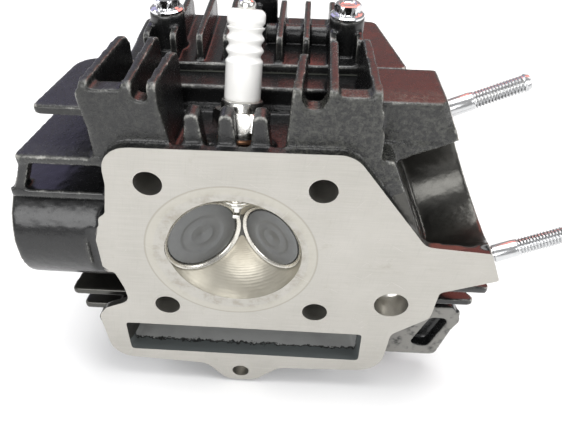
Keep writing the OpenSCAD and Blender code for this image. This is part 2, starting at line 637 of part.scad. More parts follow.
// Rear cover, clamped by the engine's own head nuts, its gasket and dowels
rear_outline = [[-36.5, 35.5, 8], [36.5, 35.5, 8], [36.5, -35.5, 8], [-36.5, -35.5, 8]];
rear_joint_y = body_depth + gasket_t;
module rear_holes(y0, y1) {
    for (x = [-stud_x, stud_x], z = [-stud_z, stud_z]) along_y(y0, y1)
        translate([x, z]) circle(r = stud_hole_r);
    for (z = [-29, 29]) along_y(y0, min(y1, rear_joint_y + 3)) translate([0, z]) circle(r = 2);
}
module rear_cover() color("#232527") difference() {
    union() {
        along_y(rear_joint_y, rear_joint_y + 5) polygon(rounded(rear_outline));
        along_y(rear_joint_y + 4, rear_joint_y + 9)
            polygon(rounded([[-19, 34, 4], [19, 34, 4], [19, -34, 4], [-19, -34, 4]]));
        for (z = [-12:6:12]) along_y(rear_joint_y + 4, rear_joint_y + 9)
            translate([-35, z - 1]) square([70, 2]);
    }
    rear_holes(rear_joint_y - 1, rear_joint_y + 10);
    translate([-16, rear_joint_y - 1, -20]) cube([32, 7, 40]);
}
module rear_cover_gasket() color("#4a4f45") difference() {
    along_y(body_depth, rear_joint_y) polygon(rounded(rear_outline));
    rear_holes(body_depth - 1, rear_joint_y + 1);
    translate([-30, body_depth - 1, -20]) cube([58, 3, 40]);
}
module rear_cover_dowels() color("#b9bbbd") for (z = [-29, 29])
    along_y(body_depth - 4.5, rear_joint_y + 2.5) translate([0, z]) circle(r = 2);

// Screwed caps over the tappets, and their O-rings
module tappet_cap(side) color("#b3b5b7") on_valve(side) difference() {
    union() {
        rod(cap_joint_d - 8, cap_joint_d, tappet_bore_r);
        rod(cap_joint_d, cap_joint_d + 2.6, 20);
        translate([0, 0, cap_joint_d + 2.6]) cylinder(h = 4.8, r = 13.9, $fn = 6);
    }
    rod(cap_joint_d - 9, cap_joint_d + 1.5, 14);
}
module intake_tappet_cap() tappet_cap(IN);
module exhaust_tappet_cap() tappet_cap(EX);
module tappet_cap_o_rings() color("#1a1a1a") for (side = [IN, EX]) on_valve(side)
    translate([0, 0, cap_joint_d - 0.8]) rotate_extrude() translate([18, 0]) circle(r = 0.8, $fn = 24);

// Spark plug: threaded shell with hexagon, gasket, ribbed insulator, terminal, electrodes
shell_d = plug_seat_d + plug_washer_t;
module plug_shell() color("#c8cacc") on_plug() difference() {
    union() {
        rod(1.5, shell_d + 1, 4.95);
        rod(shell_d, shell_d + 2.5, 7.6);
        rotate(30) translate([0, 0, shell_d + 2]) cylinder(h = 6, r = 9, $fn = 6);
        rod(shell_d + 7, shell_d + 11, 6.5);
    }
    rod(0, 16, 3.4);
    rod(15, shell_d + 12, 4.3);
}
module plug_gasket() color("#b87445") on_plug() tube(plug_seat_d, shell_d, 7.4, 4.96);

// Insulator profile: nose, body held in the shell, smooth barrel, three ribs, top bead
insulator_ribs = [for (z = [47.2:3:53.2])
    each [[5.1, z], [5.9, z + 0.8], [5.9, z + 2], [5.1, z + 2.8]]];
module plug_insulator() color("#f1f0ec") on_plug() rotate_extrude() polygon(concat(
    [[1.2, 0], [2, 0], [2.9, 12], [3.2, 15], [4.3, 15.5], [4.3, 35.2], [5.6, 35.4],
    [5.6, 46.4]],
    insulator_ribs, [[5.1, 56.4], [5.7, 57.2], [5.7, 60], [4.6, 61.6], [1.2, 61.6]]));
module plug_terminal() color("#cfd1d3") on_plug() rotate_extrude()
    polygon([[0, 45], [1.2, 45], [1.2, 61.6], [2.6, 61.6], [2.6, 63.4], [1.9, 64], [1.9, 66],
        [2.8, 66.8], [2.8, 69.4], [1.8, 70.4], [0, 70.4]]);
module plug_centre_electrode() color("#7f7a72") on_plug() rod(-1.6, 44, 1.2);
module plug_ground_electrode() color("#8a857d") on_plug() {
    translate([-1.2, 3.5, -3.6]) cube([2.4, 1.3, 5.1]);
    translate([-1.2, -1.4, -3.6]) cube([2.4, 5.2, 1.2]);
}

// Exhaust studs: threaded root and a shank with a chamfered end
module exhaust_studs() color("#dcdee0") at_exhaust_studs() {
    rod(-13.5, 1, exhaust_stud_r - 0.5);
    rod(0.4, exhaust_stud_out - 0.8, exhaust_stud_r);
    translate([0, 0, exhaust_stud_out - 0.8])
        cylinder(h = 0.8, r1 = exhaust_stud_r, r2 = exhaust_stud_r - 0.7);
}

head_casting();
intake_valve_seat();
exhaust_valve_seat();
intake_valve_guide();
exhaust_valve_guide();
intake_valve();
exhaust_valve();
intake_stem_seal();
exhaust_stem_seal();
intake_spring_seat();
exhaust_spring_seat();
intake_outer_spring();
exhaust_outer_spring();
intake_inner_spring();
exhaust_inner_spring();
intake_spring_retainer();
exhaust_spring_retainer();
intake_collets();
exhaust_collets();
camshaft();
chain_side_bearing_outer();
chain_side_bearing_balls();
chain_side_bearing_inner();
plug_side_bearing_outer();
plug_side_bearing_balls();
plug_side_bearing_inner();
bearing_keeper_plate();
bearing_keeper_bolt();
cam_sprocket();
sprocket_dowel();
sprocket_bolts();
intake_rocker_arm();
exhaust_rocker_arm();
rocker_shafts();
intake_adjuster();
exhaust_adjuster();
intake_locknut();
exhaust_locknut();
finned_side_cover();
finned_cover_gasket();
finned_cover_bolts();
sprocket_cover();
sprocket_cover_gasket();
sprocket_cover_bolts();
rear_cover();
rear_cover_gasket();
rear_cover_dowels();
intake_tappet_cap();
exhaust_tappet_cap();
tappet_cap_o_rings();
plug_shell();
plug_gasket();
plug_insulator();
plug_terminal();
plug_centre_electrode();
plug_ground_electrode();
exhaust_studs();
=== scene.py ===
"""Looks of the cylinder head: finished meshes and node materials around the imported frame."""

import json
import math

import bmesh
import bpy
import numpy as np
from mathutils import Matrix, Vector, noise

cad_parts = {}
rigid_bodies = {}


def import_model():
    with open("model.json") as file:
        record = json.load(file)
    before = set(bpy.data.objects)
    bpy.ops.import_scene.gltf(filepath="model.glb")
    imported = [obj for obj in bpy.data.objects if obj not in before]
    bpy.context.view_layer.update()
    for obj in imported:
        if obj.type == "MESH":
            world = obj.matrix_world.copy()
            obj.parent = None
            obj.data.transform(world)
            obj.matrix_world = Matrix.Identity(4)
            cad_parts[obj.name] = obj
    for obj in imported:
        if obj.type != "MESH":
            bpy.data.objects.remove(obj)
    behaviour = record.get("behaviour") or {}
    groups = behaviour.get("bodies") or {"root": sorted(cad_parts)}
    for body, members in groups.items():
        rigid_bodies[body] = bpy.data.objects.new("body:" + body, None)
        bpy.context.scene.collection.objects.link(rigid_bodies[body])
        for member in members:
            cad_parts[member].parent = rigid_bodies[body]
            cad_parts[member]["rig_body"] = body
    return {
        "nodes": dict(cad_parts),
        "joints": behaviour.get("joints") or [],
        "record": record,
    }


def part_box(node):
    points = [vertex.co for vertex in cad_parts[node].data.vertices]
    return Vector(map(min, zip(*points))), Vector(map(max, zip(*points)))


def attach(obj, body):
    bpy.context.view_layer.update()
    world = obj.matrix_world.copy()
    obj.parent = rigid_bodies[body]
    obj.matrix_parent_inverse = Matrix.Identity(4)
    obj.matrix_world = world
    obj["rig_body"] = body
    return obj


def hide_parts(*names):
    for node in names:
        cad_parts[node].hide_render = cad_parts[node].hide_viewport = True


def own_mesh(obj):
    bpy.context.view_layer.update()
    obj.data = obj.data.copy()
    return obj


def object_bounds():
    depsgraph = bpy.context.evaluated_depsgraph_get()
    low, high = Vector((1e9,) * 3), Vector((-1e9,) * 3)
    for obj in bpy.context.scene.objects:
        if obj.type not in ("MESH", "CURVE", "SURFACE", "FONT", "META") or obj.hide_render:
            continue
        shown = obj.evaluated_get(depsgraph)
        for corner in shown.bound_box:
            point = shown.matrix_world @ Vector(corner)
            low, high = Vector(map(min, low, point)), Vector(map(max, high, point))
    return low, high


MM = 0.001
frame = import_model()
cad_low, cad_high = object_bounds()
record = frame["record"]
mounts = {m["name"]: m for m in record["mounts"]}
joints = {j["name"]: j for j in frame["joints"]}
slot_of = {s["node"]: s["material_slot"] for s in record["subparts"]}
body_of = {n: o["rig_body"] for n, o in frame["nodes"].items()}
scene = bpy.context.scene

# Centres, radii and edges of the casting in the part's frame, in millimetres
CHAMBER = Vector((-1.4, -10, 0))
CHAMBER_R = 25
FLANGE = Vector((75.7, 17.3, 20.6))
RECESS_R = 20
STUD_X, STUD_Z = 27, 28
INTAKE_FACE_X = -75
SLOT_X, SLOT_HALF, SLOT_TAPER = 0.5, 46.3, 0.131
DECK_EDGE = -46.75

# Stations along a valve axis from the chamber's centre, in millimetres
VALVE_FACE = 22
SPRING_SEAT, SPRING_TOP = 59.2, 79.5
CAP_JOINT = 104

# Station of the terminal mount along the spark plug, in millimetres
TERMINAL = 68

# Thread pitches of plug and studs, and of the tappet caps, in millimetres
FINE_PITCH, CAP_PITCH = 1.0, 1.5


# ---------------------------------------------------------------- camera, floor and lights

def place_camera():
    """The photograph's viewing angle: 41 degrees above the deck, a little to the right."""
    forward = Vector((-0.034, 0.751, -0.659)).normalized()
    right = forward.cross(Vector((-0.047, 0.657, 0.751))).normalized()
    up = right.cross(forward)
    turn = Matrix((right, up, -forward)).transposed()
    data = bpy.data.cameras.new("camera")
    data.lens = 38.5
    data.sensor_width = 36
    data.clip_start = 0.01
    data.clip_end = 20
    camera = bpy.data.objects.new("camera", data)
    camera.matrix_world = Matrix.Translation(Vector((20.7, -143.7, 141.1)) * MM) @ turn.to_4x4()
    scene.collection.objects.link(camera)
    scene.camera = camera


def soft_light(name, place, target, size, power, colour=(1, 1, 1), gloss_only=False):
    data = bpy.data.lights.new(name, "AREA")
    data.shape = "RECTANGLE"
    data.size, data.size_y = size
    data.energy = power
    data.color = colour
    lamp = bpy.data.objects.new(name, data)
    lamp.visible_diffuse = not gloss_only
    lamp.location = place
    aim = Vector(target) - Vector(place)
    lamp.rotation_euler = aim.to_track_quat("-Z", "Y").to_euler()
    scene.collection.objects.link(lamp)


def studio():
    """A pale floor under the part, soft lights, and two coloured cards seen only in the gloss."""
    centre = (cad_low + cad_high) / 2
    bm = bmesh.new()
    bmesh.ops.create_grid(bm, x_segments=24, y_segments=24, size=3)
    bmesh.ops.translate(bm, verts=bm.verts, vec=(centre.x, centre.y, cad_low.z))
    floor = mesh_object("floor", bm)
    floor.data.materials.append(floor_material())
    soft_light("overhead", (0.05, 0.15, 0.95), centre, (0.9, 0.7), 10.5)
    soft_light("front", (-0.25, -0.85, 0.42), centre, (0.8, 0.5), 6.5)
    soft_light("right", (0.85, -0.25, 0.45), centre, (0.5, 0.5), 3.0)
    soft_light("left", (-0.9, 0.1, 0.5), centre, (0.5, 0.6), 2.6)
    soft_light("warm_card", (0.33, 0.80, 0.72), centre, (0.75, 0.55), 2.8, (1.0, 0.16, 0.10), True)
    soft_light("cool_card", (-0.62, 0.72, 0.55), centre, (0.6, 0.5), 0.7, (0.42, 0.36, 0.85), True)

    world = bpy.data.worlds.new("surround")
    world.use_nodes = True
    scene.world = world
    back = world.node_tree.nodes["Background"]
    back.inputs["Color"].default_value = (0.50, 0.50, 0.51, 1)
    back.inputs["Strength"].default_value = 0.72
    scene.view_settings.view_transform = "Standard"


# ---------------------------------------------------------------- node materials

class Look:
    """A material built node by node. Every value may be a number, a colour or a socket."""

    def __init__(self, name, **shader):
        self.material = bpy.data.materials.new(name)
        self.material.use_nodes = True
        self.tree = self.material.node_tree
        self.bsdf = self.tree.nodes["Principled BSDF"]
        self.mm = self.point()
        for key, value in shader.items():
            self.shade(key.replace("_", " "), value)

    def put(self, socket, value):
        if isinstance(value, bpy.types.NodeSocket):
            self.tree.links.new(value, socket)
        else:
            socket.default_value = value

    def shade(self, name, value):
        title = name.title()
        if isinstance(value, tuple) and len(value) == 3:
            value = (*value, 1)
        self.put(self.bsdf.inputs[title], value)

    def add(self, kind, *values, **props):
        node = self.tree.nodes.new("ShaderNode" + kind)
        for key, value in props.items():
            setattr(node, key, value)
        for socket, value in zip(node.inputs, values):
            if value is not None:
                self.put(socket, value)
        return node

    def point(self):
        """The point in the part's own frame, in millimetres."""
        coord = self.add("TexCoord")
        scaled = self.add("VectorMath", coord.outputs["Object"], operation="SCALE")
        scaled.inputs["Scale"].default_value = 1000
        return scaled.outputs["Vector"]

    def math(self, operation, a, b=0.0, c=0.0):
        return self.add("Math", a, b, c, operation=operation).outputs[0]

    def times(self, a, b):
        return self.math("MULTIPLY", a, b)

    def centred(self, value, span):
        """A 0 to 1 value spread evenly about 0, over that span."""
        return self.math("MULTIPLY_ADD", value, span, -span / 2)

    def stretch(self, scale, turn=(0, 0, 0), shift=(0, 0, 0)):
        node = self.add("Mapping", self.mm, vector_type="TEXTURE")
        node.inputs["Location"].default_value = shift
        node.inputs["Rotation"].default_value = [math.radians(a) for a in turn]
        node.inputs["Scale"].default_value = scale
        return node.outputs["Vector"]

    def noise(self, grain, detail=3, rough=0.5, vector=None):
        """Noise from 0 to 1 whose lumps are about grain millimetres across."""
        node = self.add("TexNoise")
        self.put(node.inputs["Vector"], self.mm if vector is None else vector)
        node.inputs["Scale"].default_value = 1 / grain
        node.inputs["Detail"].default_value = detail
        node.inputs["Roughness"].default_value = rough
        return node.outputs["Fac"]

    def step(self, value, low, high):
        """0 below low, 1 above high; low may be the larger one."""
        node = self.add("MapRange", value, interpolation_type="SMOOTHSTEP")
        node.inputs["From Min"].default_value = min(low, high)
        node.inputs["From Max"].default_value = max(low, high)
        node.inputs["To Min"].default_value = 0 if low < high else 1
        node.inputs["To Max"].default_value = 1 if low < high else 0
        return node.outputs["Result"]

    def mix(self, amount, a, b):
        """Mixes two colours."""
        node = self.add("Mix", data_type="RGBA")
        for index, value in ((0, amount), (6, a), (7, b)):
            if isinstance(value, tuple) and len(value) == 3:
                value = (*value, 1)
            self.put(node.inputs[index], value)
        return node.outputs[2]

    def blend(self, amount, a, b):
        """Mixes two numbers."""
        node = self.add("Mix", amount, data_type="FLOAT")
        self.put(node.inputs[2], a)
        self.put(node.inputs[3], b)
        return node.outputs[0]

    def attribute(self, name):
        return self.add("Attribute", attribute_name=name).outputs["Fac"]

    def axes(self):
        return self.add("SeparateXYZ", self.mm).outputs

    def off_axis(self, origin, direction):
        """Distance from an axis, and the station along it, in millimetres."""
        d = Vector(direction).normalized()
        away = self.add("VectorMath", self.mm, tuple(origin), operation="SUBTRACT").outputs[0]
        along = self.add("VectorMath", away, tuple(d), operation="DOT_PRODUCT").outputs["Value"]
        across = self.add("VectorMath", away, tuple(d), operation="CROSS_PRODUCT").outputs[0]
        return self.add("VectorMath", across, operation="LENGTH").outputs["Value"], along

    def all_of(self, *masks):
        found = masks[0]
        for mask in masks[1:]:
            found = self.times(found, mask)
        return found

    def any_of(self, *masks):
        found = masks[0]
        for mask in masks[1:]:
            found = self.math("MAXIMUM", found, mask)
        return found

    def bump(self, height, depth):
        """Relief of that depth in millimetres."""
        node = self.add("Bump")
        node.inputs["Strength"].default_value = 1
        node.inputs["Distance"].default_value = depth * MM
        self.put(node.inputs["Height"], height)
        self.put(self.bsdf.inputs["Normal"], node.outputs[0])


def floor_material():
    """Pale matt paper."""
    look = Look("floor_paper", roughness=0.75)
    tone = look.noise(60, 2)
    look.shade("base color", look.mix(tone, (0.90, 0.90, 0.90), (0.93, 0.93, 0.93)))
    look.bump(look.noise(1.5, 4), 0.02)
    return look.material


def paint_parts(look):
    """Colour, roughness and metal of the black casting paint, with bare metal on worn edges."""
    edge = look.attribute("edge")
    patches = look.noise(5, 5, 0.7)
    fine = look.noise(0.7, 3, 0.6)
    rub = look.math("ADD", edge, look.centred(patches, 0.9))
    rub = look.math("ADD", rub, look.math("MULTIPLY_ADD", fine, 0.35, -0.17))
    worn = look.step(rub, 0.50, 0.85)
    scuff = look.step(rub, 0.05, 0.6)
    tone = look.noise(14, 4, 0.6)
    black = look.mix(tone, (0.0035, 0.0036, 0.004), (0.010, 0.0104, 0.0105))
    dusty = look.mix(look.times(scuff, 0.40), black, (0.065, 0.066, 0.06))
    colour = look.mix(worn, dusty, (0.36, 0.355, 0.33))
    rough = look.blend(fine, 0.16, 0.34)
    rough = look.blend(worn, rough, 0.42)
    metal = look.times(worn, 0.7)
    return colour, rough, metal


def cast_relief(look, smooth):
    """Sand-cast skin: fine grain and shallow hollows, less of it where smooth is 1."""
    grain = look.times(look.noise(0.9, 4, 0.65), look.math("SUBTRACT", 1.15, smooth))
    return look.math("ADD", grain, look.times(look.noise(4.5, 2), 0.6))


def painted_material():
    """Black casting paint of the covers."""
    look = Look("cast_paint")
    colour, rough, metal = paint_parts(look)
    look.shade("base color", colour)
    look.shade("roughness", rough)
    look.shade("metallic", metal)
    look.bump(cast_relief(look, look.step(look.noise(18, 1), 0.45, 0.55)), 0.16)
    return look.material


def casting_material():
    """Painted casting with its machined places: recess, flange, holes, slot and intake face."""
    look = Look("casting_paint")
    colour, rough, metal = paint_parts(look)
    x, y, z = look.axes()
    normal = Vector(mounts["exhaust_stud_upper"]["axis"])
    away, along = look.off_axis(FLANGE, normal)

    # Painted sheen and scuffs: lighter grey patches on the walls that face the front lamp, on the block in
    # front of the upper exhaust stud, and on the walls over the deck
    right_wall = look.all_of(look.step(x, 12, 17), look.step(z, 27, 31), look.step(y, 11, 8))
    boss = look.all_of(look.step(x, 40, 47), look.step(z, 24, 32), look.step(y, 24, 18))
    left_wall = look.all_of(look.step(x, -15, -21), look.step(z, 30, 33), look.step(y, 10, 8))
    scuff_and_sheen_patches = look.step(look.noise(1.3, 6, 0.8), 0.42, 0.62)
    walls = look.any_of(right_wall, boss, look.times(left_wall, 0.4))
    grey = look.times(walls, scuff_and_sheen_patches)
    # Painted sheen: the walls that face the front lamp turn lighter grey, broken into scuff-like patches
    colour = look.mix(look.times(grey, 0.75), colour, (0.060, 0.061, 0.052))
    lug = look.all_of(look.step(x, 57, 58), look.step(z, -33.5, -34), look.step(y, 11.6, 11.2))
    lug_wear = look.times(lug, look.step(look.noise(3, 4), 0.2, 0.5))
    colour = look.mix(lug_wear, colour, (0.19, 0.185, 0.17))

    # Dark machined recess, bright rim and bores
    recess = look.all_of(look.step(away, RECESS_R + 0.5, RECESS_R + 0.15), look.step(along, 0.3, -0.05))
    rim = look.all_of(look.step(along, -0.45, -0.15), look.step(away, 40, 38), look.step(x, 55, 56))
    folded_x = look.math("ABSOLUTE", look.math("SUBTRACT", look.math("ABSOLUTE", x), STUD_X))
    folded_z = look.math("ABSOLUTE", look.math("SUBTRACT", look.math("ABSOLUTE", z), STUD_Z))
    stud = look.add("CombineXYZ", folded_x, 0, folded_z).outputs[0]
    from_stud = look.add("VectorMath", stud, operation="LENGTH").outputs["Value"]
    bores = look.step(from_stud, 5.3, 4.95)
    for name, radius in (("oil_feed_recess", 6.5), ("lug_screw", 3.7)):
        from_bore, _ = look.off_axis(Vector(mounts[name]["pos_m"]) * 1000, (0, 1, 0))
        bore = look.all_of(look.step(from_bore, radius + 0.2, radius), look.step(y, 13, 12.5))
        bores = look.any_of(bores, bore)
    intake = look.step(x, INTAKE_FACE_X + 0.6, INTAKE_FACE_X + 0.2)

    # Chain slot: bare grey in its depth, paint mist in front of a ragged line
    half_width = look.math("MULTIPLY_ADD", y, -SLOT_TAPER, SLOT_HALF)
    off_middle = look.math("ABSOLUTE", look.math("SUBTRACT", x, SLOT_X))
    width = look.math("SUBTRACT", half_width, off_middle)
    inside = look.all_of(
        look.step(width, 0, 0.6), look.step(z, -56, -55.8),
        look.step(z, -39.2, -39.4), look.step(y, 60, 50),
    )
    ragged = look.math("ADD", y, look.centred(look.noise(3.6, 6, 0.75), 7))
    mist = look.mix(look.noise(9, 3), (0.27, 0.275, 0.27), (0.40, 0.405, 0.395))
    mist = look.mix(look.step(ragged, 5.8, 5.4), mist, (0.085, 0.095, 0.095))
    line = look.all_of(look.step(ragged, 5.0, 5.5), look.step(ragged, 6.3, 5.8))
    mist = look.mix(line, mist, (0.012, 0.012, 0.012))

    turned = look.noise(0.35, 2)
    dark_metal = look.mix(turned, (0.055, 0.055, 0.05), (0.10, 0.097, 0.09))
    bright_metal = look.mix(turned, (0.42, 0.41, 0.38), (0.58, 0.56, 0.52))
    colour = look.mix(inside, colour, mist)
    colour = look.mix(recess, colour, dark_metal)
    colour = look.mix(bores, colour, bright_metal)
    colour = look.mix(look.any_of(rim, intake), colour, bright_metal)
    bare = look.any_of(recess, bores, rim, intake)
    rough_cast = look.any_of(inside, lug)
    unpainted = look.any_of(bare, inside, lug)
    look.shade("base color", colour)
    look.shade("roughness", look.blend(unpainted, rough, look.blend(rough_cast, 0.28, 0.6)))
    look.shade("metallic", look.blend(bare, metal, 0.9))
    look.bump(cast_relief(look, look.any_of(bare, look.step(z, 32, 26))), 0.16)
    return look.material


def deck_material():
    """Fly-cut deck: level streaks, stray scratches, faint stains and the gasket's print."""
    look = Look("machined_deck", metallic=0.55)
    streaks = look.noise(1, 4, 0.6, look.stretch((14, 1, 0.35)))
    cross = look.noise(1, 3, 0.6, look.stretch((0.4, 1, 9), (0, 8, 0)))
    rising = look.noise(1, 2, 0.5, look.stretch((16, 1, 0.22), (0, 33, 0)))
    falling = look.noise(1, 2, 0.5, look.stretch((11, 1, 0.2), (0, -52, 0), (7, 0, 3)))
    scratches = look.any_of(look.step(rising, 0.69, 0.73), look.step(falling, 0.70, 0.74))
    cloud = look.noise(22, 4, 0.55)
    stain = look.step(look.noise(9, 5, 0.7), 0.58, 0.75)
    from_bore, _ = look.off_axis((-2.5, 0, -1), (0, 1, 0))
    print_band = look.all_of(look.step(from_bore, 26.0, 26.4), look.step(from_bore, 29.3, 28.9))
    print_line = look.all_of(look.step(from_bore, 28.6, 29.0), look.step(from_bore, 29.6, 29.2))
    dirt = look.all_of(look.step(from_bore, 28.8, 24.5), look.step(look.noise(6, 5, 0.7), 0.42, 0.68))
    base = look.mix(cloud, (0.345, 0.332, 0.30), (0.47, 0.455, 0.42))
    base = look.mix(look.times(look.step(streaks, 0.35, 0.7), 0.35), base, (0.52, 0.505, 0.47))
    base = look.mix(look.times(look.step(cross, 0.5, 0.75), 0.22), base, (0.31, 0.30, 0.28))
    base = look.mix(look.times(stain, 0.35), base, (0.30, 0.275, 0.22))
    base = look.mix(look.times(print_band, 0.35), base, (0.46, 0.44, 0.37))
    base = look.mix(look.times(print_line, 0.5), base, (0.26, 0.245, 0.20))
    base = look.mix(look.times(dirt, 0.45), base, (0.20, 0.17, 0.115))
    base = look.mix(look.times(scratches, 0.6), base, (0.62, 0.61, 0.59))
    look.shade("base color", base)
    look.shade("roughness", look.blend(streaks, 0.36, 0.56))
    relief = look.math("SUBTRACT", look.times(streaks, 0.5), look.times(scratches, 0.8))
    look.bump(relief, 0.03)
    return look.material


def bowl_material():
    """Turned combustion chamber, yellowed near the valves."""
    look = Look("turned_bowl", metallic=0.85)
    away, along = look.off_axis((CHAMBER.x, 0, 0), (0, 1, 0))
    rings = look.math("SINE", look.times(away, 9))
    uneven = look.noise(6, 4, 0.6)
    soot = look.step(look.math("ADD", along, look.centred(uneven, 8)), 6, 15)
    base = look.mix(uneven, (0.40, 0.375, 0.31), (0.50, 0.475, 0.41))
    look.shade("base color", look.mix(look.times(soot, 0.55), base, (0.16, 0.135, 0.09)))
    look.shade("roughness", look.blend(look.noise(2.5, 3), 0.38, 0.50))
    relief = look.math("MULTIPLY_ADD", rings, 0.5, look.times(look.noise(1.2, 3), 0.7))
    look.bump(relief, 0.02)
    return look.material


def metal_material(name, dark, light, roughness, metallic=0.9, spot=None):
    """Worked metal: two tones, brushed grain, and smudges in the gloss."""
    look = Look(name, metallic=metallic)
    tone = look.noise(7, 4, 0.6)
    brushed = look.noise(0.6, 3, 0.6, look.stretch((1, 1, 6)))
    base = look.mix(look.blend(0.5, tone, brushed), dark, light)
    if spot is not None:
        smudge = look.step(look.noise(2.4, 5, 0.7), 0.55, 0.72)
        base = look.mix(look.times(smudge, 0.5), base, spot)
    look.shade("base color", base)
    look.shade("roughness", look.blend(look.noise(3, 4, 0.6), *roughness))
    look.bump(brushed, 0.02)
    return look.material


def valve_material():
    """Dark satin valve steel with small light specks."""
    look = Look("valve_face", metallic=0.7)
    tone = look.noise(4, 5, 0.6)
    speck = look.step(look.noise(0.9, 4, 0.7), 0.6, 0.75)
    base = look.mix(tone, (0.12, 0.123, 0.123), (0.19, 0.193, 0.19))
    look.shade("base color", look.mix(look.times(speck, 0.35), base, (0.30, 0.29, 0.27)))
    look.shade("roughness", look.blend(tone, 0.42, 0.58))
    look.bump(look.noise(0.5, 3), 0.03)
    return look.material


def ceramic_material():
    """White glazed insulator: a clear coat over slightly uneven ceramic."""
    look = Look("glazed_white", roughness=0.32, coat_weight=0.8, coat_roughness=0.06)
    tone = look.noise(9, 3)
    base = look.mix(tone, (0.80, 0.79, 0.76), (0.87, 0.865, 0.845))
    speck = look.step(look.noise(0.8, 2), 0.74, 0.78)
    look.shade("base color", look.mix(look.times(speck, 0.25), base, (0.5, 0.47, 0.42)))
    look.bump(look.noise(3.5, 2), 0.02)
    return look.material


def soft_material(name, dark, light, roughness):
    """Rubber or gasket sheet: matt, mottled, slightly fibrous."""
    look = Look(name)
    fibre = look.noise(0.5, 5, 0.7)
    look.shade("base color", look.mix(look.blend(0.5, fibre, look.noise(3, 3)), dark, light))
    look.shade("roughness", look.blend(fibre, roughness - 0.08, roughness + 0.08))
    look.bump(fibre, 0.05)
    return look.material


MATERIALS = {
    "cast_painted": painted_material(),
    "seat_steel": metal_material(
        "seat_ring", (0.50, 0.48, 0.43), (0.72, 0.70, 0.64), (0.20, 0.34), spot=(0.30, 0.27, 0.20),
    ),
    "valve_steel": valve_material(),
    "bronze": metal_material("guide_bronze", (0.42, 0.28, 0.11), (0.56, 0.40, 0.19), (0.28, 0.42)),
    "seal_rubber": soft_material("seal_green", (0.02, 0.055, 0.035), (0.035, 0.085, 0.055), 0.6),
    "spring_steel": metal_material("spring_wire", (0.10, 0.105, 0.11), (0.19, 0.195, 0.2), (0.25, 0.4)),
    "dark_steel": metal_material(
        "forged_steel", (0.15, 0.15, 0.155), (0.27, 0.27, 0.275), (0.32, 0.48), spot=(0.08, 0.07, 0.06),
    ),
    "bright_steel": metal_material("ground_steel", (0.48, 0.485, 0.49), (0.64, 0.645, 0.65), (0.16, 0.3)),
    "chromed_steel": metal_material(
        "chrome_bolt", (0.70, 0.71, 0.72), (0.82, 0.83, 0.84), (0.08, 0.2), 1.0, (0.55, 0.54, 0.52),
    ),
    "gasket_fibre": soft_material("gasket_sheet", (0.045, 0.05, 0.042), (0.09, 0.095, 0.08), 0.8),
    "bare_aluminium": metal_material(
        "bare_alloy", (0.48, 0.48, 0.485), (0.62, 0.62, 0.62), (0.3, 0.45), spot=(0.36, 0.35, 0.34),
    ),
    "nickel_shell": metal_material(
        "nickel", (0.62, 0.61, 0.57), (0.76, 0.75, 0.72), (0.14, 0.3), 1.0, (0.45, 0.38, 0.30),
    ),
    "copper": metal_material(
        "copper_washer", (0.46, 0.22, 0.12), (0.62, 0.34, 0.20), (0.22, 0.38), spot=(0.22, 0.10, 0.06),
    ),
    "ceramic": ceramic_material(),
}


# ---------------------------------------------------------------- mesh helpers

def mesh_object(name, bm):
    mesh = bpy.data.meshes.new(name)
    bm.to_mesh(mesh)
    bm.free()
    made = bpy.data.objects.new(name, mesh)
    scene.collection.objects.link(made)
    return made


def finish_piece(piece, node, materials=None, sharp=35):
    """Gives a piece its material, by default the one of its node's record slot, and its body, and lets it
    stand for its CAD node.
    """
    for material in materials or [MATERIALS[slot_of[node]]]:
        piece.data.materials.append(material)
    piece.data.polygons.foreach_set("use_smooth", [True] * len(piece.data.polygons))
    piece.data.set_sharp_from_angle(angle=math.radians(sharp))
    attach(piece, body_of[node])
    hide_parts(node)
    return piece


def cad_bmesh(node):
    """A CAD node's mesh with its coincident vertices joined."""
    bm = bmesh.new()
    bm.from_mesh(frame["nodes"][node].data)
    bmesh.ops.remove_doubles(bm, verts=bm.verts, dist=1e-6)
    return bm


def open_edges(bm):
    """How many edges don't join exactly two faces."""
    return sum(1 for e in bm.edges if len(e.link_faces) != 2)


def bevelled(node, width, angle=32):
    """A copy of a CAD node with merged flats, and edges sharper than angle rounded by width millimetres."""
    plain = cad_bmesh(node)
    bmesh.ops.dissolve_limit(plain, angle_limit=math.radians(0.4), verts=plain.verts, edges=plain.edges)
    volume = plain.calc_volume()
    rounded = plain.copy()
    paired = [e for e in rounded.edges if len(e.link_faces) == 2]
    edges = [e for e in paired if e.calc_face_angle() > math.radians(angle)]
    bmesh.ops.bevel(
        rounded, geom=edges, offset=width * MM, offset_type="OFFSET", segments=2,
        profile=0.6, affect="EDGES", clamp_overlap=True,
    )
    if open_edges(rounded) or abs(rounded.calc_volume() / volume - 1) > 0.03:
        rounded.free()
        return plain
    plain.free()
    return rounded


# ---------------------------------------------------------------- castings

def relaxed(points, edges, rounds):
    """Points after rounds of moving each halfway to the mean of its neighbours."""
    count = np.bincount(edges.ravel(), minlength=len(points))[:, None].clip(1)
    a, b = edges[:, 0], edges[:, 1]
    for _ in range(rounds):
        size = len(points)
        sums = [np.bincount(a, points[b, k], size) + np.bincount(b, points[a, k], size) for k in range(3)]
        points = points + 0.5 * (np.stack(sums, axis=1) / count - points)
    return points


def mesh_arrays(mesh):
    """Points, edge ends and normals of a mesh as arrays."""
    points = np.empty(len(mesh.vertices) * 3)
    mesh.vertices.foreach_get("co", points)
    edges = np.empty(len(mesh.edges) * 2, dtype=np.int64)
    mesh.edges.foreach_get("vertices", edges)
    normals = np.empty(len(mesh.vertices) * 3)
    mesh.vertices.foreach_get("normal", normals)
    return points.reshape(-1, 3), edges.reshape(-1, 2), normals.reshape(-1, 3)


